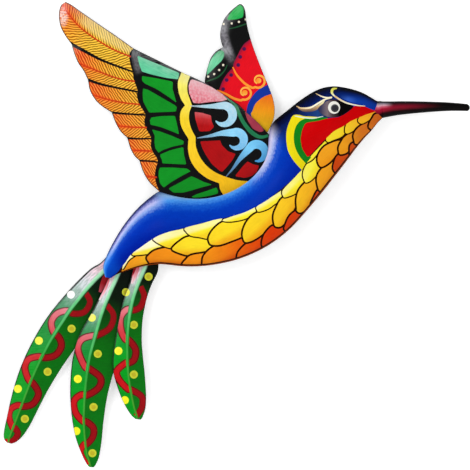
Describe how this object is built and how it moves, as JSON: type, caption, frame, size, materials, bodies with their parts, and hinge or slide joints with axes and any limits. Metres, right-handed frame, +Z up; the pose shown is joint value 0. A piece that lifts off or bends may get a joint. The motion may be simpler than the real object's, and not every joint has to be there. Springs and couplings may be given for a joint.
{
  "type": "hummingbird wall ornament",
  "caption": "Painted sheet-steel hummingbird in flight for a wall: hollow half-round body, rolled beak, creased tail feathers and flat wings, hung from a hat-shaped bracket on a nail.",
  "frame": {"origin": "Middle of the nail hole, in the plane of the wall.", "axes": "X runs right along the wall as the bird is seen, Z runs up, and Y runs into the wall, so the painted front faces -Y."},
  "size_m": [0.3253, 0.0383, 0.3249],
  "materials": {
    "body_paint": "gloss enamel, blue back, yellow and orange scales below",
    "beak_paint": "gloss black with a maroon band",
    "near_wing_paint": "gloss enamel, orange feathers, green and red panels on black",
    "far_wing_paint": "gloss enamel, red, green, blue and orange on black",
    "tail_paint": "gloss green with red ribbons and yellow dots",
    "strap_paint": "satin black",
    "hanger_steel": "satin black",
    "weld": "satin black over rough bead"
  },
  "bodies": {
    "root": {"body_shell": "body_paint", "beak": "beak_paint", "near_wing": "near_wing_paint", "far_wing": "far_wing_paint", "tail_left": "tail_paint", "tail_middle": "tail_paint", "tail_right": "tail_paint", "tail_strap": "strap_paint", "hanger": "hanger_steel", "beak_welds": "weld", "near_wing_welds": "weld", "far_wing_welds": "weld", "strap_welds": "weld", "tail_welds": "weld", "hanger_welds": "weld"}
  },
  "joints": []
}
